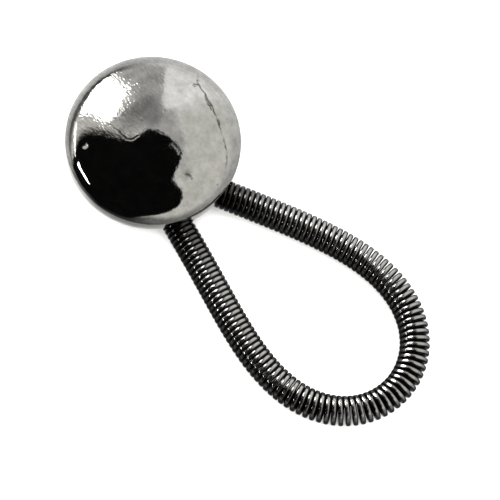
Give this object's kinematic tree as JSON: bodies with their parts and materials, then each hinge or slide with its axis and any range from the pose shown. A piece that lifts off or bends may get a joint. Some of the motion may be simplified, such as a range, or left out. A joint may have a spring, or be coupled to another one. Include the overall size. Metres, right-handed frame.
{
  "type": "collar extender",
  "caption": "Collar extender: a polished domed metal button with a teardrop loop of close-wound wire spring that goes round a shirt's collar button.",
  "frame": {"origin": "on the dome button's axis, in the plane of its back rim, which is also the plane that the part lies on", "axes": "+Z along the button's axis, up through the dome; +X from the button out along the spring loop; Y across the loop"},
  "size_m": [0.0294, 0.0121, 0.0047],
  "materials": {
    "polished_shell": "nickel plated, hand polished",
    "back_plate": "nickel plated, satin",
    "block": "machined",
    "spring_wire": "dark drawn spring wire, bright on its crests"
  },
  "bodies": {
    "root": {"front_cap": "polished_shell", "back_plate": "back_plate", "end_block": "block", "spring_loop": "spring_wire"}
  },
  "joints": []
}
